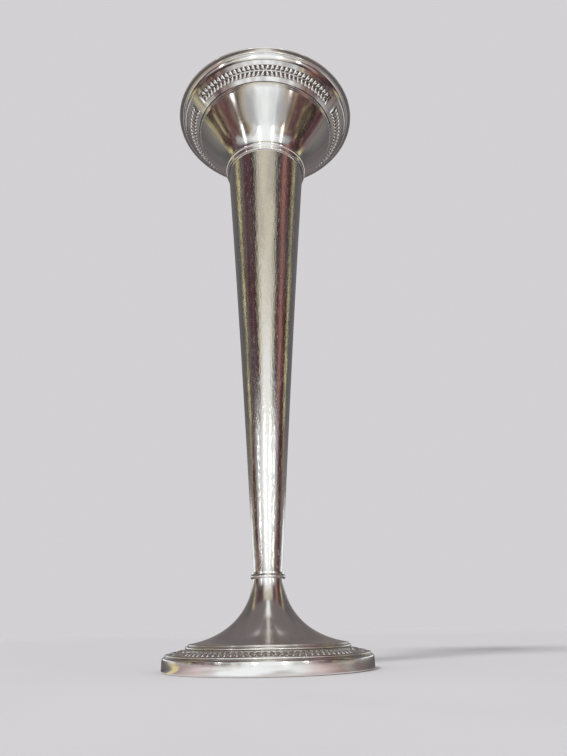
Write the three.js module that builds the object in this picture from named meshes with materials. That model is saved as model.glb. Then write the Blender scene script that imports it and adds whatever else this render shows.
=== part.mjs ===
// Trumpet bud vase: a long tapered tube with a flared bell, soldered to a weighted foot.
// Every piece is turned about Z and the foot stands on z = 0. Lengths are in millimetres, angles in degrees.
import * as THREE from 'three';

// Overall sizes
const VASE_HEIGHT = 254;
const LIP_RADIUS = 44.2;
const FOOT_RADIUS = 36.7;
const WALL = 0.8; // sheet of the tube, the bell and the foot
const SOLDER_GAP = 0.15; // round every piece that is soldered to another

// Tube: the joints at its two ends, and how far its side bows in from a straight taper
const COLLAR_HEIGHT = 30.4;
const BELL_HEIGHT = 33; // from the tube's top joint to the lip
const TUBE_FOOT_RADIUS = 5.3;
const TUBE_TOP_RADIUS = 18.3;
const TUBE_BOW = 0.45;

// Bell: its slope from the axis where the smooth flare starts and ends, and the pull of each slope
const THROAT_ANGLE = 12;
const FLARE_ANGLE = 38;
const THROAT_PULL = 7;
const FLARE_PULL = 11;

// Mouth: the stepped fillets, the leaf border and the rim, each with its width across and its height
const STEP_COUNT = 2;
const STEPS_WIDTH = 1;
const STEPS_HEIGHT = 2.2;
const BORDER_WIDTH = 6.3;
const BORDER_HEIGHT = 5.9;
const RIM_WIDTH = 3.9;
const RIM_HEIGHT = 3.2;
const RIM_BEAD_RADIUS = 0.35;
const FLANGE_WIDTH = 2.05; // from the middle of the rim's bead to the lip
const FLANGE_HEIGHT = 0.7;
const LIP_ROLL_RADIUS = 0.3;
const SHEET_LAP = 1.5; // of the bell's sheet inside the rim
const SHEET_LAP_ANGLE = 30; // from the axis

// Leaf borders: two rows of leaves on a strip laid in equal parts, plain where two parts join
const BORDER_PARTS = 3;
const MOUTH_LEAF_COUNT = 108; // pitches round a row, joins included
const FOOT_LEAF_COUNT = 102;
const JOIN_LEAF_COUNT = 4; // pitches left plain at a join
const STRIP_THICKNESS = 0.5;
const ROWS_WIDTH = 4.7; // of the two rows of leaves, between plain margins
const ROWS_MOST = 0.96; // of a strip's width
const LEAF_HEIGHT = 0.3;
const LEAF_LEAN = 0.75; // of a leaf across its row, as a share of the pitch

// Neck ring: a large bead over a small one, on the joint of tube and bell
const NECK_BEAD_RADIUS = 1.1;
const NECK_BEAD_PROUD = 1.5; // beyond the top of the tube
const NECK_FILLET_RADIUS = 0.65;
const NECK_FILLET_PROUD = 0.75;

// Collar ring: one bead, with a thin fillet above it, on the joint of foot and tube
const COLLAR_BEAD_RADIUS = 1;
const COLLAR_PROUD = 0.7; // beyond the neck of the foot
const COLLAR_FILLET_HEIGHT = 0.7;

// Foot: the flare, the rolled shoulder, the sloping ledge with its leaf border, and the plinth band
const FOOT_NECK_RADIUS = 5.7;
const FLARE_EDGE_ANGLE = 9; // slope of the flare from level, at the shoulder
const NECK_PULL = 10;
const SHOULDER_PULL = 15;
const SHOULDER_SETBACK = 0.3; // of the shoulder from the leaf border
const SHOULDER_HEIGHT = 8.5;
const SHOULDER_ROLL_RADIUS = 0.6;
const SHOULDER_FILLET_RADIUS = 0.3; // round the edge of the flare, over the roll
const SHOULDER_FILLET_SETBACK = 1.25;
const LEDGE_WIDTH = 5.3;
const LEDGE_HEIGHT = 1.15;
const LEDGE_BEAD_RADIUS = 0.45;
const LEDGE_SETBACK = 0.9; // of the ledge's bead from the band's face
const BAND_HEIGHT = 4.6;
const BAND_WALL = 1.8;
const BAND_EDGE_RADIUS = 0.65;

// Inside the foot
const BASE_PLATE_THICKNESS = 0.8;
const FILL_GAP = 0.3;
const FILL_HEIGHT = 22; // top of the weighting, below the collar
const PLUG_DEPTH = 6; // of the plug inside the tube
const SHANK_LENGTH = 18; // of the plug below the collar

const SIDES = 42;
const CURVE_STEPS = 7;
const TUBE_STEPS = 4;

const silver = { color: 0xd8d3c6, roughness: 0.16, metalness: 1 };
const cement = { color: 0x8d8579, roughness: 0.95, metalness: 0 };

const vase = new THREE.Group();
vase.name = 'bud_vase';

const at = (radius, height) => new THREE.Vector2(radius, height);

const heading = (degrees) => {
  const angle = THREE.MathUtils.degToRad(degrees);
  return at(Math.sin(angle), Math.cos(angle));
};

function addPiece(name, geometry, finish) {
  const mesh = new THREE.Mesh(geometry, new THREE.MeshStandardMaterial(finish));
  mesh.name = name;
  vase.add(mesh);
}

// Turns an outline round Z. An outline runs anticlockwise, with the radius to the right and Z up.
function turned(outline) {
  return new THREE.LatheGeometry(outline, SIDES).rotateX(Math.PI / 2);
}

const closed = (outline) => [...outline, outline[0].clone()];

// The points of an arc, anticlockwise from one angle to another, measured from the level outward line
function bead(centre, radius, from, to, steps = 4) {
  return Array.from({ length: steps + 1 }, (_, i) => {
    const angle = THREE.MathUtils.degToRad(from + ((to - from) * i) / steps);
    return at(centre.x + radius * Math.cos(angle), centre.y + radius * Math.sin(angle));
  });
}

// The line a set distance to the left of a path, which is the inner side of a sheet
function inset(path, distance) {
  return path.map((point, i) => {
    const before = path[Math.max(i - 1, 0)];
    const after = path[Math.min(i + 1, path.length - 1)];
    const into = point.clone().sub(before).normalize();
    const out = after.clone().sub(point).normalize();
    const along = into.add(out).normalize();
    return at(point.x - along.y * distance, point.y + along.x * distance);
  });
}

// A path's radius at a height, for a path that only rises
function radiusAt(path, height) {
  const i = Math.max(1, path.findIndex((point) => point.y >= height));
  const [low, high] = [path[i - 1], path[i]];
  return THREE.MathUtils.mapLinear(height, low.y, high.y, low.x, high.x);
}

// A soldered strip on a cone, from one edge of its face to the other. The face carries two rows of raised
// leaves that spread from the line between them, away from the middle of each part, as on a laurel wreath.
function leafStrip(start, end, leaves) {
  const pitch = (2 * Math.PI) / leaves;
  const half = leaves / BORDER_PARTS / 2;
  const share = Math.min(ROWS_WIDTH / start.distanceTo(end), ROWS_MOST);
  const [rowStart, middle, rowEnd] = [-1, 0, 1].map((k) => start.clone().lerp(end, (1 + k * share) / 2));
  const outward = end.clone().sub(start).normalize().rotateAround(at(0, 0), -Math.PI / 2);
  const rings = [start, rowStart, middle, rowEnd, end, ...inset([start, end], STRIP_THICKNESS).reverse()];
  const vertices = [];
  const triangles = [];

  const place = (point, angle) => {
    vertices.push(point.x * Math.sin(angle), -point.x * Math.cos(angle), point.y);
    return vertices.length / 3 - 1;
  };
  const fromMiddle = (i) => THREE.MathUtils.euclideanModulo(i + half, 2 * half) - half;
  const onLeaves = (i) => Math.abs(fromMiddle(i)) < half - JOIN_LEAF_COUNT / 2;
  const side = (i) => (onLeaves(i) ? -Math.sign(fromMiddle(i)) : 0);
  const lean = (point, i) => (point === middle ? side(i) * LEAF_LEAN * pitch : 0);
  const corners = rings.map((point) =>
    Array.from({ length: leaves }, (_, i) => place(point, i * pitch + lean(point, i))));

  rings.forEach((ring, k) => {
    const next = (k + 1) % rings.length;
    const crest = ring.clone().lerp(rings[next], 0.5).addScaledVector(outward, LEAF_HEIGHT);
    const isRow = ring === rowStart || ring === middle;
    for (let i = 0; i < leaves; i++) {
      const j = (i + 1) % leaves;
      const cell = [corners[k][i], corners[k][j], corners[next][j], corners[next][i]];
      if (isRow && onLeaves(i + 0.5)) {
        const tilt = (lean(middle, i) + lean(middle, j)) / 4;
        const top = place(crest, (i + 0.5) * pitch + tilt);
        cell.forEach((corner, c) => triangles.push(corner, cell[(c + 1) % 4], top));
      } else {
        triangles.push(cell[0], cell[1], cell[3], cell[2], cell[3], cell[1]);
      }
    }
  });

  const geometry = new THREE.BufferGeometry();
  geometry.setAttribute('position', new THREE.Float32BufferAttribute(vertices, 3));
  geometry.setIndex(triangles);
  return geometry;
}

// Tube: open at both ends, bowed in a little from a straight taper
const tubeFoot = at(TUBE_FOOT_RADIUS, COLLAR_HEIGHT);
const tubeTop = at(TUBE_TOP_RADIUS, VASE_HEIGHT - BELL_HEIGHT);
const tubeBend = tubeFoot.clone().lerp(tubeTop, 0.5).sub(at(2 * TUBE_BOW, 0));
const tubeSide = new THREE.QuadraticBezierCurve(tubeFoot, tubeBend, tubeTop).getPoints(TUBE_STEPS);
const tubeBore = tubeSide.map((point) => at(point.x - WALL, point.y));
addPiece('body_tube', turned(closed([...tubeSide, ...tubeBore.reverse()])), silver);

// Mouth: corners of the fillets, the border and the rim, counted in from the lip
const lip = at(LIP_RADIUS, VASE_HEIGHT);
const borderEdge = lip.clone().sub(at(RIM_WIDTH, RIM_HEIGHT));
const borderRoot = borderEdge.clone().sub(at(BORDER_WIDTH, BORDER_HEIGHT));
const flareTop = borderRoot.clone().sub(at(STEPS_WIDTH, STEPS_HEIGHT));
const [stripSeatRoot, stripSeatEdge] = inset([borderRoot, borderEdge], STRIP_THICKNESS + SOLDER_GAP);

// Bell: a smooth flare on top of the tube, fillets like small stairs, then the seat of border and rim
const flare = new THREE.CubicBezierCurve(
  tubeTop,
  tubeTop.clone().addScaledVector(heading(THROAT_ANGLE), THROAT_PULL),
  flareTop.clone().addScaledVector(heading(FLARE_ANGLE), -FLARE_PULL),
  flareTop,
).getPoints(CURVE_STEPS);
const tread = STEPS_WIDTH / (2 * STEP_COUNT + 1);
const riser = STEPS_HEIGHT / (STEP_COUNT + 1);
const fillets = [];
for (let step = 0; step < STEP_COUNT; step++) {
  fillets.push(flareTop.clone().add(at(tread * (2 * step + 1), riser * step)));
  fillets.push(flareTop.clone().add(at(tread * (2 * step + 2), riser * (step + 1))));
}
const sheetEdge = stripSeatEdge.clone().addScaledVector(heading(SHEET_LAP_ANGLE), SHEET_LAP);
const bellSide = [...flare, ...fillets, stripSeatRoot, stripSeatEdge, sheetEdge];
const bellLining = inset([...flare, stripSeatRoot, stripSeatEdge, sheetEdge], WALL);
bellLining[0] = tubeTop.clone().sub(at(WALL, 0));
addPiece('bell', turned(closed([...bellSide, ...bellLining.reverse()])), silver);

addPiece('mouth_border', leafStrip(borderRoot, borderEdge, MOUTH_LEAF_COUNT), silver);

// Rim: a cove, a bead and a flange with a rolled lip, wrapped round the edge of the bell's sheet
const inRim = (across, up) => borderEdge.clone().add(at(RIM_WIDTH * across, RIM_HEIGHT * up));
const rimBead = bead(lip.clone().sub(at(FLANGE_WIDTH, FLANGE_HEIGHT)), RIM_BEAD_RADIUS, -150, 10);
const coveFoot = borderEdge.clone().add(at(SOLDER_GAP, SOLDER_GAP));
const cove = new THREE.QuadraticBezierCurve(coveFoot, inRim(0.14, 0.5), rimBead[0]).getPoints(4);
const clearEdge = sheetEdge.clone().addScaledVector(heading(SHEET_LAP_ANGLE), 2 * SOLDER_GAP);
const rimBack = inset([stripSeatEdge, sheetEdge], -SOLDER_GAP);
const rimTop = inset([sheetEdge, clearEdge], WALL)[1];
const rim = [
  ...cove,
  ...rimBead.slice(1),
  ...bead(lip.clone().sub(at(LIP_ROLL_RADIUS, LIP_ROLL_RADIUS)), LIP_ROLL_RADIUS, -80, 90, 3),
  inRim(0.55, 1),
  rimTop,
  clearEdge,
  rimBack[1],
  rimBack[0].clone().lerp(rimBack[1], 0.3),
];
addPiece('mouth_rim', turned(closed(rim)), silver);

// Neck ring: sleeved over the joint of tube and bell
const neckBead = tubeTop.clone().add(at(NECK_BEAD_PROUD - NECK_BEAD_RADIUS, NECK_BEAD_RADIUS));
const neckFillet = tubeTop.clone().add(at(NECK_FILLET_PROUD - NECK_FILLET_RADIUS, -2 * NECK_FILLET_RADIUS));
const ringSide = [
  ...bead(neckFillet, NECK_FILLET_RADIUS, -50, 55, 3),
  ...bead(neckBead, NECK_BEAD_RADIUS, -70, 55),
];
const ringFoot = ringSide[0].y;
const ringTop = ringSide.at(-1).y;
const neckRing = [
  ...ringSide,
  at(radiusAt(flare, ringTop) + SOLDER_GAP, ringTop),
  tubeTop.clone().add(at(SOLDER_GAP, 0)),
  at(radiusAt(tubeSide, ringFoot) + SOLDER_GAP, ringFoot),
];
addPiece('neck_ring', turned(closed(neckRing)), silver);

// Foot shell: from its seat on the band up the ledge and the shoulder, then the flare to the neck
const ledgeBead = at(FOOT_RADIUS - LEDGE_SETBACK - LEDGE_BEAD_RADIUS, BAND_HEIGHT + LEDGE_BEAD_RADIUS);
const ledgeEdge = ledgeBead.clone().add(at(-1.5 * LEDGE_BEAD_RADIUS, 0.7 * LEDGE_BEAD_RADIUS));
const ledgeRoot = ledgeEdge.clone().add(at(-LEDGE_WIDTH, LEDGE_HEIGHT));
const [ledgeSeatEdge, ledgeSeatRoot] = inset([ledgeEdge, ledgeRoot], STRIP_THICKNESS + SOLDER_GAP);
const shoulderRadius = ledgeRoot.x - SHOULDER_SETBACK;
const fillet = at(shoulderRadius - SHOULDER_FILLET_SETBACK, SHOULDER_HEIGHT - SHOULDER_FILLET_RADIUS);
const rollHeight = fillet.y - SHOULDER_FILLET_RADIUS - SHOULDER_ROLL_RADIUS;
const shoulderRoll = at(shoulderRadius - SHOULDER_ROLL_RADIUS, rollHeight);
const rollSide = bead(shoulderRoll, SHOULDER_ROLL_RADIUS, -75, 75, 3);
const shoulderFoot = at(rollSide[0].x, ledgeSeatRoot.y);
const flareEdge = at(fillet.x - SHOULDER_FILLET_RADIUS, SHOULDER_HEIGHT);
const footNeck = at(FOOT_NECK_RADIUS, COLLAR_HEIGHT);
const footFlare = new THREE.CubicBezierCurve(
  flareEdge,
  flareEdge.clone().addScaledVector(heading(FLARE_EDGE_ANGLE - 90), SHOULDER_PULL),
  footNeck.clone().sub(at(0, NECK_PULL)),
  footNeck,
).getPoints(CURVE_STEPS);
const footSheet = [ledgeSeatEdge, shoulderFoot, shoulderRoll, ...footFlare];
const footLining = inset(footSheet, WALL);
footLining[footLining.length - 1] = at(FOOT_NECK_RADIUS - WALL, COLLAR_HEIGHT);
const registerRadius = FOOT_RADIUS - BAND_WALL - SOLDER_GAP;
const footSide = [
  at(registerRadius, footLining[0].y),
  at(registerRadius, BAND_HEIGHT),
  ...bead(ledgeBead, LEDGE_BEAD_RADIUS, -90, 120, 3),
  ledgeSeatEdge,
  shoulderFoot,
  ...rollSide,
  ...bead(fillet, SHOULDER_FILLET_RADIUS, -30, 60, 1),
  ...footFlare,
];
addPiece('foot_shell', turned(closed([...footSide, ...footLining.reverse()])), silver);

addPiece('foot_border', leafStrip(ledgeEdge, ledgeRoot, FOOT_LEAF_COUNT), silver);

// Plinth band: an upright ring with rounded outer edges, under the shell
const bandBore = FOOT_RADIUS - BAND_WALL;
const band = [
  at(bandBore, 0),
  ...bead(at(FOOT_RADIUS - BAND_EDGE_RADIUS, BAND_EDGE_RADIUS), BAND_EDGE_RADIUS, -90, 0, 2),
  ...bead(at(FOOT_RADIUS - BAND_EDGE_RADIUS, BAND_HEIGHT - BAND_EDGE_RADIUS), BAND_EDGE_RADIUS, 0, 90, 2),
  at(bandBore, BAND_HEIGHT),
];
addPiece('foot_band', turned(closed(band)), silver);

// Collar ring: sleeved over the joint of foot and tube
const collarBead = at(FOOT_NECK_RADIUS + COLLAR_PROUD - COLLAR_BEAD_RADIUS, COLLAR_HEIGHT);
const collarSide = bead(collarBead, COLLAR_BEAD_RADIUS, -50, 50);
const collarFoot = collarSide[0].y;
const filletFoot = collarSide.at(-1);
const collarTop = filletFoot.y + COLLAR_FILLET_HEIGHT;
const collarRing = [
  ...collarSide,
  at(filletFoot.x, collarTop),
  at(radiusAt(tubeSide, collarTop) + SOLDER_GAP, collarTop),
  at(FOOT_NECK_RADIUS + SOLDER_GAP, COLLAR_HEIGHT),
  at(FOOT_NECK_RADIUS + SOLDER_GAP, collarFoot),
];
addPiece('collar_ring', turned(closed(collarRing)), silver);

// Base plate: closes the foot, flush with the band
const baseRadius = bandBore - SOLDER_GAP;
addPiece('base_plate', turned([
  at(0, 0),
  at(baseRadius, 0),
  at(baseRadius, BASE_PLATE_THICKNESS),
  at(0, BASE_PLATE_THICKNESS),
]), silver);

// Stem plug: closes the foot of the tube, and its shank runs down into the weighting
const plugTop = COLLAR_HEIGHT + PLUG_DEPTH;
const shankFoot = COLLAR_HEIGHT - SHANK_LENGTH;
const shankRadius = TUBE_FOOT_RADIUS - WALL - SOLDER_GAP;
addPiece('stem_plug', turned([
  at(0, shankFoot),
  at(shankRadius, shankFoot),
  at(shankRadius, COLLAR_HEIGHT),
  at(radiusAt(tubeSide, plugTop) - WALL - SOLDER_GAP, plugTop),
  at(0, plugTop),
]), silver);

// Weighting: cast into the foot round the shank
const fillFloor = BASE_PLATE_THICKNESS + FILL_GAP;
const fillSide = inset(footSheet, WALL + FILL_GAP).slice(1).filter((point) => point.y < FILL_HEIGHT);
const shankHole = shankRadius + FILL_GAP;
const ledgeUnderside = footLining.at(-1).y - FILL_GAP;
addPiece('weight_fill', turned([
  at(0, fillFloor),
  at(bandBore - FILL_GAP, fillFloor),
  at(bandBore - FILL_GAP, ledgeUnderside),
  at(registerRadius - WALL, ledgeUnderside),
  ...fillSide,
  at(shankHole, fillSide.at(-1).y),
  at(shankHole, shankFoot - FILL_GAP),
  at(0, shankFoot - FILL_GAP),
]), cement);

export default vase;
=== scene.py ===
"""The looks of a silver trumpet bud vase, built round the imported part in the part's own frame.

Outlines are lists of (radius, height) points. Lengths are in metres and angles in degrees.
An azimuth is measured round Z from the front of the vase, which faces -Y, towards +X.
"""

import math

import bmesh
import bpy
from mathutils import Matrix, Vector


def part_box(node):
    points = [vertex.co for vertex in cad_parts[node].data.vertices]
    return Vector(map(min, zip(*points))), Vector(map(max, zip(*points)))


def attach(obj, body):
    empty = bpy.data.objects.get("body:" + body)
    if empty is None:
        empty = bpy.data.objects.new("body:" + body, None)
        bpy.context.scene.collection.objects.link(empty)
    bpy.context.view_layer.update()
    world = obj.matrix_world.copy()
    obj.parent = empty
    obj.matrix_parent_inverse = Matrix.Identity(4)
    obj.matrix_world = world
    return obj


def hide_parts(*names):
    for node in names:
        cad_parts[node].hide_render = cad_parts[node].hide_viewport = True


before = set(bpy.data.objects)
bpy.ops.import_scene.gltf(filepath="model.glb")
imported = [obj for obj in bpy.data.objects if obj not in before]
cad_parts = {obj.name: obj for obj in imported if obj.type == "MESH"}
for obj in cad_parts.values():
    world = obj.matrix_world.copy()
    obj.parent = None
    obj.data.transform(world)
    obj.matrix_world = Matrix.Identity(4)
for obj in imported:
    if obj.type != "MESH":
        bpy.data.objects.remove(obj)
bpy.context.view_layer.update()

MM = 0.001
UP = Vector((0, 0, 1))


def mm(*lengths):
    return Vector(lengths) * MM


def heading(angle):
    """The direction at an angle from the axis, outward."""
    return Vector((math.sin(math.radians(angle)), math.cos(math.radians(angle))))


def rotation(angle, axis):
    return Matrix.Rotation(math.radians(angle), 4, axis)


def profile_corner(node):
    """The outermost radius and the top of a CAD node."""
    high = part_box(node)[1]
    return Vector((high.x, high.z))


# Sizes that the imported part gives
lip = profile_corner("mouth_rim")
tube_top = profile_corner("body_tube")
band_top = profile_corner("foot_band")
COLLAR_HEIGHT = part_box("body_tube")[0].z

# Sheet and joints
WALL = 0.8 * MM
SOLDER_GAP = 0.15 * MM
STRIP_THICKNESS = 0.5 * MM
ROUND = 192  # facets round a turned piece
HARD_EDGE = 34  # faces that meet at a wider angle keep their edge
WELD = 0.002 * MM

# Mouth, counted in from the lip
RIM = mm(3.9, 3.2)
BORDER = mm(6.3, 5.9)
STEPS = mm(1, 2.2)
STEP_COUNT = 2
STEP_NOSE, STEP_NOSE_END = 0.09 * MM, -16  # radius, and the angle where the nose runs out
RIM_BEAD, FLANGE = 0.35 * MM, mm(2.05, 0.7)
COVE_BEND, LIP_BEND = Vector((0.14, 0.5)), Vector((0.5, 1))  # shares of the rim's width and height
RIM_BACK_START = 0.3  # share of the bell's lap
LIP_ROLL = 0.3 * MM
SHEET_LAP, SHEET_LAP_ANGLE = 1.5 * MM, 30
THROAT_ANGLE, THROAT_PULL = 12, 7 * MM
FLARE_ANGLE, FLARE_PULL = 38, 11 * MM
LINING_START = -3  # the point of the flare where the lining leaves it

# Tube and its two rings
TUBE_FOOT_RADIUS = 5.3 * MM
TUBE_BOW = 0.45 * MM
NECK_BEAD, NECK_BEAD_PROUD = 1.1 * MM, 1.5 * MM
NECK_FILLET, NECK_FILLET_PROUD = 0.65 * MM, 0.75 * MM
COLLAR_BEAD, COLLAR_PROUD = 1.0 * MM, 0.7 * MM
COLLAR_FILLET_HEIGHT = 0.7 * MM

# Foot
FOOT_NECK_RADIUS = 5.7 * MM
FLARE_EDGE_ANGLE = 9
NECK_PULL, SHOULDER_PULL = 10 * MM, 15 * MM
SHOULDER_SETBACK, SHOULDER_HEIGHT = 0.3 * MM, 8.5 * MM
SHOULDER_ROLL, SHOULDER_FILLET, FILLET_SETBACK = 0.6 * MM, 0.3 * MM, 1.25 * MM
LEDGE = mm(-5.3, 1.15)
LEDGE_BEAD, LEDGE_SETBACK = 0.45 * MM, 0.9 * MM
LEDGE_LAP = Vector((-1.5, 0.7))  # from the bead's middle to the ledge's edge, in radii of the bead
BAND_WALL, BAND_EDGE = 1.8 * MM, 0.65 * MM
BASE_PLATE_THICKNESS, BASE_PLATE_EDGE = 0.8 * MM, 0.2 * MM

# Leaf borders: rows laid in equal parts, plain where two parts join, in a channel between plain margins
BORDER_PARTS = 3
MOUTH_LEAF_COUNT, FOOT_LEAF_COUNT = 108, 102
JOIN_LEAF_COUNT = 4
ROWS_WIDTH, RIB_WIDTH, BRINK_WIDTH = 4.7 * MM, 0.43 * MM, 0.1 * MM
MOUTH_CHANNEL, FOOT_CHANNEL = 0.3 * MM, 0.2 * MM
PAD_PROUD, PAD_BEVEL = 0.07 * MM, 0.1 * MM

# A leaf: its size, and how it is shaped from a ball of radius 1
LEAF_LEAN = 28
LEAF_HEIGHT = 0.58 * MM  # from the floor of the channel
LEAF_LENGTH_SHARE, LEAF_WIDTH_SHARE = 1.25, 0.76  # of the row's width, and of the pitch
LEAF_STATIONS = ((-1, 0.7, 0.3), (-0.5, 0.75, 0.08), (0.5, 1.15, 0.08), (1, 1.3, 0.3))  # place, swell, sweep
STATION_REACH = 0.2
LEAF_MIDRIB = 0.2
LEAF_CHEEKS, LEAF_UNDERSIDE = (1, 1.15, 1.22), (1, 1, 0.25)


# Outlines


def arc(centre, radius, start, end, steps):
    """Points of an arc, from one angle to another, measured from the level outward line."""
    angles = [math.radians(start + (end - start) * i / steps) for i in range(steps + 1)]
    return [centre + radius * Vector((math.cos(a), math.sin(a))) for a in angles]


def curve(corners, steps):
    """Points of a Bezier curve with any number of corners."""
    points = []
    for i in range(steps + 1):
        line = list(corners)
        while len(line) > 1:
            line = [a.lerp(b, i / steps) for a, b in zip(line, line[1:])]
        points.append(line[0])
    return points


def inset(path, distance):
    """The line a set distance to the left of a path."""
    moved = []
    for i, point in enumerate(path):
        before, after = path[max(i - 1, 0)], path[min(i + 1, len(path) - 1)]
        along = ((point - before).normalized() + (after - point).normalized()).normalized()
        moved.append(point + distance * Vector((-along.y, along.x)))
    return moved


def radius_at(path, height):
    """A rising path's radius at a height."""
    for low, high in zip(path, path[1:]):
        if high.y >= height:
            return low.lerp(high, (height - low.y) / (high.y - low.y)).x


def at_front(point):
    """A point or direction of an outline, at the front of the vase."""
    return Vector((0, -point.x, point.y))


class Border:
    """The section of a leaf border, from its root to its edge. The side is 1 where its face looks down and
    -1 where it looks up, and the depth is that of the channel in the face."""

    def __init__(self, root, edge, side, depth, leaf_count):
        self.root, self.side, self.depth, self.leaf_count = root, side, depth, leaf_count
        self.pitch = 360 / leaf_count
        self.half_width = (edge - root).length / 2
        self.middle = root.lerp(edge, 0.5)
        self.slope = (edge - root).normalized()
        self.out = side * Vector((self.slope.y, -self.slope.x))

    def point(self, across, height):
        """A point of the section, across from the middle of the face and out from it."""
        return self.middle + across * self.slope + height * self.out


# Modelling by hand


def deselect():
    bpy.ops.object.select_all(action="DESELECT")


def select_only(*pieces):
    """Selects pieces and makes the first one active."""
    deselect()
    for piece in pieces:
        piece.select_set(True)
    bpy.context.view_layer.objects.active = pieces[0]


def edit(piece):
    select_only(piece)
    bpy.ops.object.mode_set(mode="EDIT")
    bpy.ops.mesh.select_mode(type="VERT")


def pick(piece, wanted):
    """Selects the points whose place passes the test, in edit mode."""
    mesh = bmesh.from_edit_mesh(piece.data)
    for vertex in mesh.verts:
        vertex.select = wanted(vertex.co)
    mesh.select_flush_mode()
    bmesh.update_edit_mesh(piece.data)


def resize(*scale):
    """Scales the selected points about the origin, in edit mode."""
    bpy.ops.transform.resize(value=scale, center_override=(0, 0, 0))


def close_up():
    """Merges the seams of the piece in edit mode and turns its faces outward."""
    bpy.ops.mesh.select_all(action="SELECT")
    bpy.ops.mesh.remove_doubles(threshold=WELD)
    bpy.ops.mesh.normals_make_consistent(inside=False)
    bpy.ops.object.mode_set(mode="OBJECT")


def apply_place(piece):
    select_only(piece)
    bpy.ops.object.transform_apply(location=True, rotation=True, scale=True)


def turned(name, outline, closed=True):
    """A surface of revolution: an outline drawn on from one point, which is a plane merged to its centre,
    and spun round Z."""
    deselect()
    start = outline[0]
    bpy.ops.mesh.primitive_plane_add(size=WALL, location=(start.x, 0, start.y))
    piece = bpy.context.object
    piece.name = name
    apply_place(piece)
    edit(piece)
    bpy.ops.mesh.select_all(action="SELECT")
    bpy.ops.mesh.merge(type="CENTER")
    onward = outline[1:] + [start] if closed else outline[1:]
    for here, there in zip(outline, onward):
        step = there - here
        bpy.ops.mesh.extrude_vertices_move(TRANSFORM_OT_translate={"value": (step.x, 0, step.y)})
    bpy.ops.mesh.select_all(action="SELECT")
    bpy.ops.mesh.spin(steps=ROUND, angle=2 * math.pi, center=(0, 0, 0), axis=UP)
    close_up()
    bpy.ops.object.shade_smooth_by_angle(angle=math.radians(HARD_EDGE))
    return piece


def modify(piece, kind, **settings):
    """Adds a modifier and applies it."""
    modifier = piece.modifiers.new(kind.lower(), kind)
    for name, setting in settings.items():
        setattr(modifier, name, setting)
    select_only(piece)
    bpy.ops.object.modifier_apply(modifier=modifier.name)


def ringed(piece, count, angle):
    """Copies a piece round Z, each copy turned on from the last."""
    deselect()
    bpy.ops.object.empty_add(rotation=(0, 0, math.radians(angle)))
    pivot = bpy.context.object
    offset = {"use_relative_offset": False, "use_object_offset": True, "offset_object": pivot}
    modify(piece, "ARRAY", count=count, **offset)
    bpy.data.objects.remove(pivot)


def joined(*pieces):
    """Joins pieces into the first one."""
    select_only(*pieces)
    bpy.ops.object.join()
    return pieces[0]


def leaf(length, width, height):
    """A leaf along X with its face up: narrow at its stalk, full towards its tip and swept to one side.
    Its cheeks swell to both sides of the midrib, and its underside is nearly flat."""
    deselect()
    bpy.ops.mesh.primitive_uv_sphere_add(segments=8, ring_count=6, radius=1, rotation=(0, math.pi / 2, 0))
    piece = bpy.context.object
    apply_place(piece)
    edit(piece)
    for station, swell, sweep in LEAF_STATIONS:
        pick(piece, lambda point: abs(point.x - station) < STATION_REACH)
        resize(1, swell, 1)
        bpy.ops.transform.translate(value=(0, sweep, 0))
    pick(piece, lambda point: point.z > LEAF_MIDRIB and abs(point.y) > LEAF_MIDRIB)
    resize(*LEAF_CHEEKS)
    pick(piece, lambda point: point.z < -LEAF_MIDRIB)
    resize(*LEAF_UNDERSIDE)
    bpy.ops.mesh.select_all(action="SELECT")
    resize(length / 2, width / 2, height)
    close_up()
    bpy.ops.object.shade_smooth()
    return piece


def leaf_pair(border):
    """One leaf of each row, spread from the rib between them and set in the floor of the channel."""
    row_width = (ROWS_WIDTH - RIB_WIDTH) / 2
    row_middle = (ROWS_WIDTH + RIB_WIDTH) / 4
    lean = math.radians(LEAF_LEAN)
    length = LEAF_LENGTH_SHARE * row_width / math.cos(lean)
    width = LEAF_WIDTH_SHARE * math.radians(border.pitch) * border.middle.x
    turn = rotation(border.pitch / 2, "Z")
    around = turn @ Vector((1, 0, 0))
    across, out = turn @ at_front(border.slope), turn @ at_front(border.out)
    leaves = []
    for way in (-1, 1):
        piece = leaf(length, width, LEAF_HEIGHT)
        place = turn @ at_front(border.point(way * row_middle, -border.depth))
        along = way * math.cos(lean) * across + math.sin(lean) * around
        axes = Matrix((along, out.cross(along), out)).transposed()
        piece.matrix_world = Matrix.Translation(place) @ axes.to_4x4()
        apply_place(piece)
        leaves.append(piece)
    return joined(*leaves)


def join_pads(outline, half_width):
    """Plain pads cut out of a turned ring, half their width to each side of the joins between the parts."""
    part = 360 / BORDER_PARTS

    def off_join(point):
        azimuth = math.degrees(math.atan2(point.x, -point.y))
        from_middle = abs((azimuth + part / 2) % part - part / 2)
        return from_middle < part / 2 - half_width

    pads = turned("pads", outline)
    edit(pads)
    pick(pads, off_join)
    bpy.ops.mesh.delete(type="VERT")
    bpy.ops.mesh.select_all(action="SELECT")
    bpy.ops.mesh.fill_holes(sides=0)
    close_up()
    modify(pads, "BEVEL", width=PAD_BEVEL, segments=2)
    return pads


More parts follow.
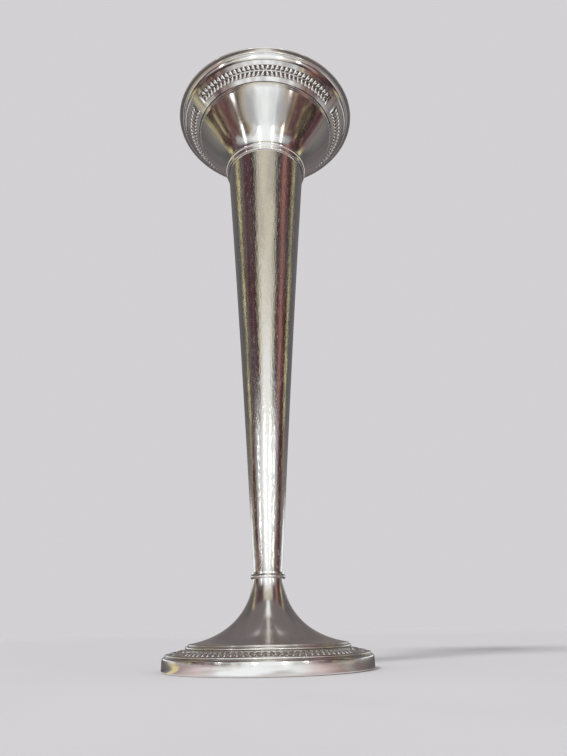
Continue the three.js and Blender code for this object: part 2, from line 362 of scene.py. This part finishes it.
def leaf_border(name, border):
    """A strip with two rows of leaves that spread from the rib between them, away from the middle of each
    part, and a pad over each join."""
    pair = leaf_pair(border)
    ringed(pair, (border.leaf_count // BORDER_PARTS - JOIN_LEAF_COUNT) // 2, border.pitch)
    modify(pair, "MIRROR", use_mirror_merge=False)
    ringed(pair, BORDER_PARTS, 360 / BORDER_PARTS)

    rows, rib = ROWS_WIDTH / 2, RIB_WIDTH / 2
    channel = [(rows, 0), (rows - BRINK_WIDTH, -border.depth), (rib + BRINK_WIDTH, -border.depth), (rib, 0)]
    half = [(border.half_width, 0)] + channel
    face = [border.point(-across, height) for across, height in half]
    face += [border.point(across, height) for across, height in half[::-1]]
    face = face[:: border.side]  # the section is drawn the same way round whichever way the face looks
    strip = turned(name, face + inset([face[0], face[-1]], STRIP_THICKNESS)[::-1])

    pad_ends = [-rows - BRINK_WIDTH, rows + BRINK_WIDTH]
    pad = [border.point(across, PAD_PROUD) for across in pad_ends]
    pad += [border.point(across, -border.depth) for across in pad_ends[::-1]]
    return joined(strip, pair, join_pads(pad, JOIN_LEAF_COUNT * border.pitch / 2))


# Tube
tube_foot = Vector((TUBE_FOOT_RADIUS, COLLAR_HEIGHT))
tube_bend = tube_foot.lerp(tube_top, 0.5) - Vector((2 * TUBE_BOW, 0))
tube_side = curve([tube_foot, tube_bend, tube_top], steps=24)
tube_bore = [point - Vector((WALL, 0)) for point in tube_side]
body_tube = turned("vase_body_tube", tube_side + tube_bore[::-1])

# Bell
border_edge = lip - RIM
border_root = border_edge - BORDER
flare_top = border_root - STEPS
seat_root, seat_edge = inset([border_root, border_edge], STRIP_THICKNESS + SOLDER_GAP)
throat = tube_top + THROAT_PULL * heading(THROAT_ANGLE)
flare_bend = flare_top - FLARE_PULL * heading(FLARE_ANGLE)
flare = curve([tube_top, throat, flare_bend, flare_top], steps=32)
tread = STEPS.x / (2 * STEP_COUNT + 1)
riser = STEPS.y / (STEP_COUNT + 1)
step_side = []
for step in range(STEP_COUNT):
    nose = flare_top + Vector((tread * (2 * step + 1) - STEP_NOSE, riser * step + STEP_NOSE))
    step_side += arc(nose, STEP_NOSE, -90, STEP_NOSE_END, steps=5)
    step_side.append(flare_top + Vector((tread * (2 * step + 2), riser * (step + 1))))
sheet_edge = seat_edge + SHEET_LAP * heading(SHEET_LAP_ANGLE)
bell_side = flare + step_side + [seat_root, seat_edge, sheet_edge]
lining_bend = curve([flare[LINING_START], seat_root, seat_edge, sheet_edge], steps=16)
bell_lining = inset(flare[:LINING_START] + lining_bend, WALL)
bell_lining[0] = tube_top - Vector((WALL, 0))
bell = turned("vase_bell", bell_side + bell_lining[::-1])

# Rim
rim_bead = arc(lip - FLANGE, RIM_BEAD, -150, 10, steps=14)
cove_foot = border_edge + Vector((SOLDER_GAP, SOLDER_GAP))
cove = curve([cove_foot, border_edge + COVE_BEND * RIM, rim_bead[0]], steps=12)
lip_roll = arc(lip - Vector((LIP_ROLL, LIP_ROLL)), LIP_ROLL, -80, 90, steps=12)
clear_edge = sheet_edge + 2 * SOLDER_GAP * heading(SHEET_LAP_ANGLE)
rim_back = inset([seat_edge, sheet_edge], -SOLDER_GAP)
rim_top = inset([sheet_edge, clear_edge], WALL)[1]
lip_inside = curve([lip_roll[-1], border_edge + LIP_BEND * RIM, rim_top], steps=10)[1:]
rim_side = cove + rim_bead[1:] + lip_roll + lip_inside
rim_lap = [clear_edge, rim_back[1], rim_back[0].lerp(rim_back[1], RIM_BACK_START)]
mouth_rim = turned("vase_mouth_rim", rim_side + rim_lap)

# Neck ring
neck_bead = tube_top + Vector((NECK_BEAD_PROUD - NECK_BEAD, NECK_BEAD))
neck_fillet = tube_top + Vector((NECK_FILLET_PROUD - NECK_FILLET, -2 * NECK_FILLET))
ring_side = arc(neck_fillet, NECK_FILLET, -50, 55, steps=10) + arc(neck_bead, NECK_BEAD, -70, 55, steps=14)
ring_foot, ring_top = ring_side[0].y, ring_side[-1].y
gap = Vector((SOLDER_GAP, 0))
ring_bore = [
    Vector((radius_at(flare, ring_top), ring_top)) + gap,
    tube_top + gap,
    Vector((radius_at(tube_side, ring_foot), ring_foot)) + gap,
]
neck_ring = turned("vase_neck_ring", ring_side + ring_bore)

# Foot shell
ledge_bead = Vector((band_top.x - LEDGE_SETBACK - LEDGE_BEAD, band_top.y + LEDGE_BEAD))
ledge_edge = ledge_bead + LEDGE_BEAD * LEDGE_LAP
ledge_root = ledge_edge + LEDGE
ledge_seat = inset([ledge_edge, ledge_root], STRIP_THICKNESS + SOLDER_GAP)
shoulder_radius = ledge_root.x - SHOULDER_SETBACK
fillet = Vector((shoulder_radius - FILLET_SETBACK, SHOULDER_HEIGHT - SHOULDER_FILLET))
shoulder_roll = Vector((shoulder_radius - SHOULDER_ROLL, fillet.y - SHOULDER_FILLET - SHOULDER_ROLL))
roll_side = arc(shoulder_roll, SHOULDER_ROLL, -75, 75, steps=14)
shoulder_foot = Vector((roll_side[0].x, ledge_seat[1].y))
flare_edge = Vector((fillet.x - SHOULDER_FILLET, SHOULDER_HEIGHT))
foot_neck = Vector((FOOT_NECK_RADIUS, COLLAR_HEIGHT))
edge_pull = SHOULDER_PULL * heading(FLARE_EDGE_ANGLE - 90)
neck_pull = Vector((0, NECK_PULL))
foot_flare = curve([flare_edge, flare_edge + edge_pull, foot_neck - neck_pull, foot_neck], steps=40)
foot_lining = inset([ledge_seat[0], shoulder_foot, shoulder_roll] + foot_flare, WALL)
foot_lining[-1] = foot_neck - Vector((WALL, 0))
register_radius = band_top.x - BAND_WALL - SOLDER_GAP
foot_side = [Vector((register_radius, foot_lining[0].y)), Vector((register_radius, band_top.y))]
foot_side += arc(ledge_bead, LEDGE_BEAD, -90, 120, steps=14) + [ledge_seat[0], shoulder_foot]
foot_side += roll_side + arc(fillet, SHOULDER_FILLET, -60, 80, steps=8) + foot_flare
foot_shell = turned("vase_foot_shell", foot_side + foot_lining[::-1])

# Plinth band
band_bore = band_top.x - BAND_WALL
band_low = Vector((band_top.x - BAND_EDGE, BAND_EDGE))
band_high = Vector((band_top.x - BAND_EDGE, band_top.y - BAND_EDGE))
band_side = arc(band_low, BAND_EDGE, -90, 0, steps=8) + arc(band_high, BAND_EDGE, 0, 90, steps=8)
foot_band = turned("vase_foot_band", band_side + [Vector((band_bore, band_top.y)), Vector((band_bore, 0))])

# Collar ring
collar_bead = Vector((FOOT_NECK_RADIUS + COLLAR_PROUD - COLLAR_BEAD, COLLAR_HEIGHT))
collar_side = arc(collar_bead, COLLAR_BEAD, -50, 50, steps=12)
collar_foot, fillet_foot = collar_side[0].y, collar_side[-1]
collar_top = fillet_foot.y + COLLAR_FILLET_HEIGHT
collar_bore = FOOT_NECK_RADIUS + SOLDER_GAP
collar_inside = [
    Vector((fillet_foot.x, collar_top)),
    Vector((radius_at(tube_side, collar_top) + SOLDER_GAP, collar_top)),
    Vector((collar_bore, COLLAR_HEIGHT)),
    Vector((collar_bore, collar_foot)),
]
collar_ring = turned("vase_collar_ring", collar_side + collar_inside)

# Base plate
base_edge = Vector((band_bore - SOLDER_GAP - BASE_PLATE_EDGE, BASE_PLATE_EDGE))
base_side = arc(base_edge, BASE_PLATE_EDGE, -90, 0, steps=5)
base_top = [Vector((base_side[-1].x, BASE_PLATE_THICKNESS)), Vector((0, BASE_PLATE_THICKNESS))]
base_plate = turned("vase_base_plate", [Vector((0, 0))] + base_side + base_top)

# Borders
mouth_strip = Border(border_root, border_edge, side=1, depth=MOUTH_CHANNEL, leaf_count=MOUTH_LEAF_COUNT)
ledge_strip = Border(ledge_root, ledge_edge, side=-1, depth=FOOT_CHANNEL, leaf_count=FOOT_LEAF_COUNT)
mouth_border = leaf_border("vase_mouth_border", mouth_strip)
foot_border = leaf_border("vase_foot_border", ledge_strip)


# Finishes


class Value:
    """A node's socket that adds Math nodes when it takes part in an expression."""

    def __init__(self, tree, socket=None):
        self.tree = tree
        self.socket = socket

    def node(self, kind, inputs=None, output=0, stops=(), **settings):
        """A node of any type: its settings and its ramp's stops, then the values or links of its sockets."""
        node = self.tree.nodes.new("ShaderNode" + kind)
        for name, setting in settings.items():
            setattr(node, name, setting)
        for i, (place, colour) in enumerate(stops):
            elements = node.color_ramp.elements
            element = elements[i] if i < len(elements) else elements.new(place)
            element.position = place
            element.color = colour
        for name, given in (inputs or {}).items():
            if isinstance(given, Value):
                self.tree.links.new(given.socket, node.inputs[name])
            else:
                node.inputs[name].default_value = given
        return Value(self.tree, node.outputs[output]) if node.outputs else node

    def math(self, operation, *operands):
        return self.node("Math", dict(enumerate(operands)), operation=operation)

    def __add__(self, other):
        return self.math("ADD", self, other)

    def __sub__(self, other):
        return self.math("SUBTRACT", self, other)

    def __rsub__(self, other):
        return self.math("SUBTRACT", other, self)

    def __mul__(self, other):
        return self.math("MULTIPLY", self, other)

    def __pow__(self, power):
        return self.math("POWER", self, power)

    __radd__ = __add__
    __rmul__ = __mul__

    def ease(self, low, high):
        """0 below a value, 1 above another, and smooth between."""
        ends = {"Value": self, "From Min": low, "From Max": high}
        return self.node("MapRange", ends, interpolation_type="SMOOTHSTEP")

    def fade(self, low, high):
        """1 below a value, 0 above another, and smooth between."""
        return 1 - self.ease(low, high)

    def between(self, start, end):
        """1 within a range that eases in over one pair of values and out over another."""
        return self.ease(*start) * self.fade(*end)

    def mix(self, colour, other):
        """One colour where this is 0 and another where it is 1."""
        return self.node("Mix", {0: self, 6: colour, 7: other}, output=2, data_type="RGBA")


def rgb(red, green, blue):
    return red, green, blue, 1


def new_material(name):
    material = bpy.data.materials.new(name)
    material.use_nodes = True
    material.node_tree.nodes.clear()
    return material, Value(material.node_tree)


def give_finish(piece, material):
    piece.data.materials.clear()
    piece.data.materials.append(material)


def shine(tree, **inputs):
    """The surface of a material: one Principled shader with the given sockets."""
    surface = tree.node("BsdfPrincipled", {name.replace("_", " "): given for name, given in inputs.items()})
    tree.node("OutputMaterial", {"Surface": surface})


def coordinates(tree):
    """The three Object coordinates and the distance from the axis."""
    place = tree.node("TexCoord", output="Object")
    x, y, z = (tree.node("SeparateXYZ", {"Vector": place}, output=axis) for axis in "XYZ")
    return x, y, z, (x * x + y * y) ** 0.5


def noise(tree, scale=1, stretch=(1, 1, 1), turn=(0, 0, 0), detail=2):
    """Cloudy noise on Object coordinates, with features of about 1 / scale metres. A stretch multiplies the
    scale along each axis of a turned pattern."""
    place = tree.node("TexCoord", output="Object")
    if stretch != (1, 1, 1):
        angles = [math.radians(angle) for angle in turn]
        place = tree.node("Mapping", {"Vector": place, "Rotation": angles, "Scale": stretch})
    return tree.node("TexNoise", {"Vector": place, "Scale": scale, "Detail": detail})


SILVER, WARM_SILVER = rgb(0.93, 0.905, 0.865), rgb(0.86, 0.79, 0.67)
# the colour of the painted shade in the pockets of the leaf borders
POCKET_SHADE = rgb(0.045, 0.036, 0.032)
FILLER, PALE_FILLER = rgb(0.2, 0.18, 0.16), rgb(0.34, 0.31, 0.28)
DRAWN_GRAIN, SPUN_GRAIN = (2400, 2400, 200), (120, 120, 2600)  # scratches to a metre along each axis
# how far the edge of the painted pocket shade wanders in depth
SHADE_EDGE_WANDER = 0.15 * MM


def polished_silver(name, gloss, wear, grain, scratch, wave):
    """Polished silver: scratches along a grain and across it, a soft wave from handwork, and a little warm
    tarnish. The wear dulls the scratches. The scratch and the wave are depths."""
    material, tree = new_material(name)
    hairlines = noise(tree, stretch=grain, detail=3)
    scuffs = noise(tree, stretch=(1500, 1500, 320), turn=(25, 14, 0), detail=3)
    rubs = noise(tree, stretch=(1400, 1400, 280), turn=(-38, -22, 0), detail=3)
    swell = noise(tree, 55, detail=1)
    height = (hairlines + scuffs + rubs) * scratch + swell * wave
    bump = tree.node("Bump", {"Height": height, "Strength": 1, "Distance": 1})
    clouds = noise(tree, 38, detail=4)
    tarnish_and_pocket_shade = clouds.ease(0.48, 0.78) * 0.5
    scratches = hairlines.ease(0.52, 0.75) + scuffs.ease(0.58, 0.72) + rubs.ease(0.6, 0.74)
    dullness = gloss + wear * scratches + 0.06 * tarnish_and_pocket_shade
    shine(tree, Base_Color=tarnish_and_pocket_shade.mix(SILVER, WARM_SILVER), Metallic=1, Roughness=dullness, Normal=bump)
    return material


def border_silver(name, border, tarnish_and_pocket_shade):
    """Silver with painted shade in the pockets between the leaves: its colour darkens with the depth under
    the strip's face. The last argument is the painted shade's share of the colour at the bottom of the
    pockets."""
    material, tree = new_material(name)
    _, _, z, radius = coordinates(tree)
    height = (radius - border.root.x) * border.out.x + (z - border.root.y) * border.out.y
    shade_edge_noise = noise(tree, 700, detail=3)
    # painted shade: the colour darkens towards the bottom of the pockets, by depth under the face, with a
    # wavering edge; the same mask also roughens them
    recess = (height + (shade_edge_noise - 0.5) * SHADE_EDGE_WANDER).fade(-0.9 * border.depth, -0.25 * border.depth)
    colour = (recess * tarnish_and_pocket_shade).mix(SILVER, POCKET_SHADE)
    shine(tree, Base_Color=colour, Metallic=1, Roughness=0.11 + 0.3 * recess)
    return material


def base_silver(name):
    """Satin sheet, scuffed by standing."""
    material, tree = new_material(name)
    scuffs = noise(tree, stretch=(500, 60, 500), turn=(0, 0, 25), detail=4)
    rubs = noise(tree, stretch=(60, 600, 600), turn=(0, 0, -12), detail=4)
    clouds = noise(tree, 60, detail=5)
    stain = clouds.ease(0.48, 0.7) * 0.6
    dullness = 0.3 + 0.2 * scuffs + 0.1 * rubs
    bump = tree.node("Bump", {"Height": scuffs + rubs, "Strength": 0.35, "Distance": 0.05 * MM})
    shine(tree, Base_Color=stain.mix(SILVER, WARM_SILVER), Metallic=1, Roughness=dullness, Normal=bump)
    return material


def weighting(name):
    """Cast weighting: a dull grey filler with grit and pinholes."""
    material, tree = new_material(name)
    grit = noise(tree, 900, detail=6)
    mottle = noise(tree, 120, detail=4)
    colour = mottle.ease(0.3, 0.7).mix(FILLER, PALE_FILLER)
    bump = tree.node("Bump", {"Height": grit, "Strength": 0.6, "Distance": 0.2 * MM})
    shine(tree, Base_Color=colour, Roughness=0.75 + 0.2 * grit, Normal=bump)
    return material


drawn_silver = polished_silver(
    "drawn_silver", gloss=0.1, wear=0.2, grain=DRAWN_GRAIN, scratch=0.036 * MM, wave=0.25 * MM
)
spun_silver = polished_silver(
    "spun_silver", gloss=0.12, wear=0.06, grain=SPUN_GRAIN, scratch=0.004 * MM, wave=0.12 * MM
)
satin_silver = polished_silver(
    "satin_silver", gloss=0.18, wear=0.05, grain=SPUN_GRAIN, scratch=0.003 * MM, wave=0.12 * MM
)
# the last argument is how dark the painted shade gets at the bottom of the leaf pockets
mouth_silver = border_silver("mouth_border_silver", mouth_strip, tarnish_and_pocket_shade=0.92)
ledge_silver = border_silver("foot_border_silver", ledge_strip, tarnish_and_pocket_shade=0.25)

for piece, node, material, slot in (
    (body_tube, "body_tube", drawn_silver, "polished_silver"),
    (bell, "bell", spun_silver, "polished_silver"),
    (mouth_rim, "mouth_rim", spun_silver, "polished_silver"),
    (neck_ring, "neck_ring", spun_silver, "polished_silver"),
    (foot_shell, "foot_shell", satin_silver, "polished_silver"),
    (foot_band, "foot_band", spun_silver, "polished_silver"),
    (collar_ring, "collar_ring", spun_silver, "polished_silver"),
    (mouth_border, "mouth_border", mouth_silver, "border_silver"),
    (foot_border, "foot_border", ledge_silver, "border_silver"),
    (base_plate, "base_plate", base_silver("base_silver"), "base_silver"),
):
    give_finish(piece, material)
    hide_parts(node)
    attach(piece, "root")

give_finish(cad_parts["stem_plug"], spun_silver)
give_finish(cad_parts["weight_fill"], weighting("weighting"))


# Stage

FLOOR_RADIUS, FLOOR_OPENING = 20, 0.98 * band_top.x
SKYLIGHT, SUNLIGHT = 0.5, 1.35
SUN_TILT, SUN_AZIMUTH, SUN_WIDTH = 38, -42, 14
FLOOR_COLOUR = Vector((0.77, 0.755, 0.775))
FLOOR_LIGHT = SKYLIGHT + SUNLIGHT * math.cos(math.radians(SUN_TILT)) / math.pi

# The floor, open under the foot, which hides the opening
floor = turned("floor", [Vector((FLOOR_OPENING, 0)), Vector((FLOOR_RADIUS, 0))], closed=False)
floor_material, floor_tree = new_material("floor")
shine(floor_tree, Base_Color=rgb(*FLOOR_COLOUR), Roughness=0.9, Specular_IOR_Level=0.1)
give_finish(floor, floor_material)

# The sky lights the scene evenly, and shows the floor's own tone wherever it is seen
world = bpy.data.worlds.new("studio")
world.use_nodes = True
world.node_tree.nodes.clear()
sky = Value(world.node_tree)
seen = sum(sky.node("LightPath", output=f"Is {ray} Ray") for ray in ("Camera", "Glossy", "Transmission"))
sky_colour = seen.mix(rgb(SKYLIGHT, SKYLIGHT, SKYLIGHT), rgb(*(FLOOR_LIGHT * FLOOR_COLOUR)))
sky.node("OutputWorld", {"Surface": sky.node("Background", {"Color": sky_colour})})
bpy.context.scene.world = world

# The surround, which shows only as a reflection in the silver: a round room hung with coloured cards, from
# near the foot out along the floor and up the wall. Each row of cards is given as colours by azimuth.
WHITE, PALE = rgb(0.92, 0.96, 1.0), rgb(0.6, 0.64, 0.68)
CREAM, BLUSH = rgb(0.62, 0.58, 0.48), rgb(0.7, 0.6, 0.63)
SLATE, ASH = rgb(0.1, 0.1, 0.105), rgb(0.165, 0.142, 0.148)
GREY, PEWTER = rgb(0.2, 0.185, 0.18), rgb(0.4, 0.42, 0.45)
DARK, UMBER, PLUM = rgb(0.018, 0.014, 0.014), rgb(0.2, 0.14, 0.14), rgb(0.12, 0.048, 0.06)
MAUVE, SALMON = rgb(0.36, 0.27, 0.3), rgb(0.42, 0.22, 0.17)
GOLD, TAN = rgb(0.68, 0.6, 0.33), rgb(0.46, 0.37, 0.24)
NEAR = (
    (-150, SLATE), (-130, GREY), (-122, GOLD), (-112, GOLD), (-107, MAUVE), (-74, BLUSH), (-40, WHITE),
    (36, WHITE), (60, BLUSH), (84, MAUVE), (92, PEWTER), (106, GREY), (140, SLATE),
)
FAR = (
    (-125, SLATE), (-94, GREY), (-90, GOLD), (-84, GOLD), (-80, DARK), (-62, PLUM), (-46, DARK),
    (-34, PEWTER), (-20, PEWTER), (-9, WHITE), (9, WHITE), (20, PEWTER), (34, PEWTER),
    (46, DARK), (64, PLUM), (84, DARK), (94, GREY), (125, SLATE),
)
WALL_LOW = (
    (-103, GREY), (-100, GOLD), (-98, GOLD), (-95, DARK), (-70, PLUM), (-46, DARK), (-34, TAN), (-24, PALE),
    (-14, WHITE), (14, WHITE), (24, PALE), (34, TAN), (46, PLUM), (80, DARK), (95, PLUM), (102, GREY),
)
WALL_MID = (
    (-107, GREY), (-105, GOLD), (-104, GOLD), (-102, DARK), (-76, PLUM), (-64, PEWTER), (-44, PALE),
    (-26, WHITE), (20, WHITE), (36, PALE), (52, PEWTER), (66, PLUM), (84, DARK), (97, PLUM), (104, GREY),
)
WALL_HIGH = (
    (-150, ASH), (-120, SLATE), (-104, SLATE), (-99, GOLD), (-95, GOLD), (-91, DARK), (-80, UMBER),
    (-72, DARK), (-56, PLUM), (-38, DARK), (-26, CREAM), (26, CREAM), (38, DARK), (50, PLUM),
    (62, SALMON), (68, PLUM), (90, DARK), (97, GOLD), (99, GOLD), (104, SLATE), (120, SLATE), (150, ASH),
)
SURROUND_RADIUS, WALL_HEIGHT, CARD_LIFT = 1.0, 1.1, 0.5 * MM
CEILING_RADIUS, CEILING_HEIGHT, CEILING_RISE = 0.4, 1.7, 0.05
WALL_STRETCH = 2  # how fast the reach grows up the wall
REACH_RIPPLE, TURN_RIPPLE, LOW_TURN_RIPPLE = 0.3, 0.06, 0.1  # how far the cards' edges wander
SPIRAL_SIZE, SPIRAL_RATE = 15.6, -7.7  # of the strip of light behind


def card_row(azimuth, cards):
    """One row of cards, as a ramp of colours over the azimuth in turns, with the front in its middle."""
    stops = [(0.5 + angle / 360, card) for angle, card in cards]
    return azimuth.node("ValToRGB", {"Fac": azimuth}, stops=stops)


def surround_light(name):
    """The glow of the surround: rows of cards that follow one another with the reach, which is measured out
    along the floor and then up the wall, and over them a ceiling, patches and two strips of light."""
    material, tree = new_material(name)
    east, north, height, radius = coordinates(tree)

    # The azimuth in turns, how far that is from the front either way, and the reach
    turn = east.math("ARCTAN2", east, -1 * north) * (0.5 / math.pi)
    swing = turn.math("ABSOLUTE", turn)
    ripple = noise(tree, 8, detail=4) - 0.5
    reach = radius + WALL_STRETCH * height
    wavy_reach = reach + REACH_RIPPLE * ripple
    low_part = wavy_reach.fade(1.2, 1.6)

    # Close to the foot the cards fan out, to fill the band up to its sides
    fan = turn * (1 - 0.5 * band_top.x * radius**-1) ** -1
    azimuth = 0.5 + fan + ripple * (TURN_RIPPLE + LOW_TURN_RIPPLE * low_part)
    rows = (NEAR, FAR, WALL_LOW, WALL_MID, WALL_HIGH)
    near, far, low, mid, high = (card_row(azimuth, cards) for cards in rows)
    smudges = 0.4 * noise(tree, stretch=(1.5, 1.5, 8), detail=3).ease(0.45, 0.6)
    high = smudges.mix(high, SLATE)
    colour = near
    for row, start, full in ((far, 0.3, 0.45), (low, 0.42, 0.65), (mid, 1.0, 1.2), (high, 1.35, 1.85)):
        colour = wavy_reach.ease(start, full).mix(colour, row)

    # Over the cards: the ceiling, a pale core up the front of the wall, mottling near the foot, blotches and
    # flecks low on both flanks, and strips of light behind and overhead
    ceiling = height.ease(1.0, 1.2)
    core = 0.7 * swing.fade(0.03, 0.08) * wavy_reach.between((1.35, 1.6), (1.8, 2.5))
    mottle = 0.5 * noise(tree, 22, detail=4).ease(0.46, 0.6) * wavy_reach.fade(0.35, 0.6)
    flanks = swing.between((0.08, 0.14), (0.23, 0.26)) * low_part
    blotches = 0.5 * flanks * noise(tree, 8, detail=3).ease(0.55, 0.63)
    flecks = flanks * noise(tree, 13, detail=3).ease(0.63, 0.66)
    spiral = SPIRAL_SIZE * reach * swing.math("EXPONENT", SPIRAL_RATE * swing)
    back_strip = spiral.between((0.6, 0.75), (1.35, 1.55)) * swing.ease(0.17, 0.22)
    back_strip = back_strip * height.fade(0.15, 0.25)
    top_strip = (east * east).fade(0.006, 0.05) * height.ease(1.1, 1.2)
    for patch, paint in (
        (ceiling, ASH),
        (core, WHITE),
        (mottle, UMBER),
        (blotches, TAN),
        (flecks, GOLD),
        (back_strip + top_strip, WHITE),
    ):
        colour = patch.mix(colour, paint)
    tree.node("OutputMaterial", {"Surface": tree.node("Emission", {"Color": colour})})
    return material


surround_outline = [
    Vector((FLOOR_OPENING, CARD_LIFT)),
    Vector((SURROUND_RADIUS, CARD_LIFT)),
    Vector((SURROUND_RADIUS, WALL_HEIGHT)),
    Vector((CEILING_RADIUS, CEILING_HEIGHT)),
    Vector((0, CEILING_HEIGHT + CEILING_RISE)),
]
surround = turned("surround", surround_outline, closed=False)
for rays in ("camera", "diffuse", "shadow", "transmission", "volume_scatter"):
    setattr(surround, "visible_" + rays, False)
give_finish(surround, surround_light("surround"))

# Lamps: a soft sun for the floor's shadow, and four leaning strips that sparkle on the mouldings
STRIP_AZIMUTHS, STRIP_PLACE, STRIP_LEAN = (-50, -14, 16, 38), Vector((0, -0.72, 0.16)), 52
STRIP_WIDTH, STRIP_LENGTH, STRIP_LIGHT = 0.03, 0.44, 0.15

deselect()
bpy.ops.object.light_add(type="SUN", rotation=(math.radians(SUN_TILT), 0, math.radians(SUN_AZIMUTH)))
sun = bpy.context.object
sun.data.energy = SUNLIGHT
sun.data.angle = math.radians(SUN_WIDTH)
sun.visible_glossy = False
for strip_azimuth in STRIP_AZIMUTHS:
    bpy.ops.object.light_add(type="AREA")
    strip_lamp = bpy.context.object
    strip_place = rotation(strip_azimuth, "Z") @ Matrix.Translation(STRIP_PLACE)
    strip_lamp.matrix_world = strip_place @ rotation(90 + STRIP_LEAN, "X")
    strip_lamp.data.shape = "RECTANGLE"
    strip_lamp.data.size, strip_lamp.data.size_y = STRIP_WIDTH, STRIP_LENGTH
    strip_lamp.data.energy = STRIP_LIGHT
    strip_lamp.visible_diffuse = False

# Camera
CAMERA_PLACE = Vector((0, -0.2229, 0.0128))
CAMERA_YAW, CAMERA_PITCH, CAMERA_ROLL = 1.801, 23.539, -1.05
FOCAL_PIXELS, FRAME_PIXELS, SENSOR = 576, 756, 36
CAMERA_CLIP = 0.01

camera = bpy.data.objects.new("camera", bpy.data.cameras.new("camera"))
bpy.context.scene.collection.objects.link(camera)
camera.data.sensor_width = SENSOR
camera.data.lens = SENSOR * FOCAL_PIXELS / FRAME_PIXELS
camera.data.clip_start = CAMERA_CLIP
camera_turn = rotation(-CAMERA_YAW, "Z") @ rotation(90 + CAMERA_PITCH, "X") @ rotation(CAMERA_ROLL, "Z")
camera.matrix_world = Matrix.Translation(CAMERA_PLACE) @ camera_turn
bpy.context.scene.camera = camera
bpy.context.scene.view_settings.view_transform = "Standard"
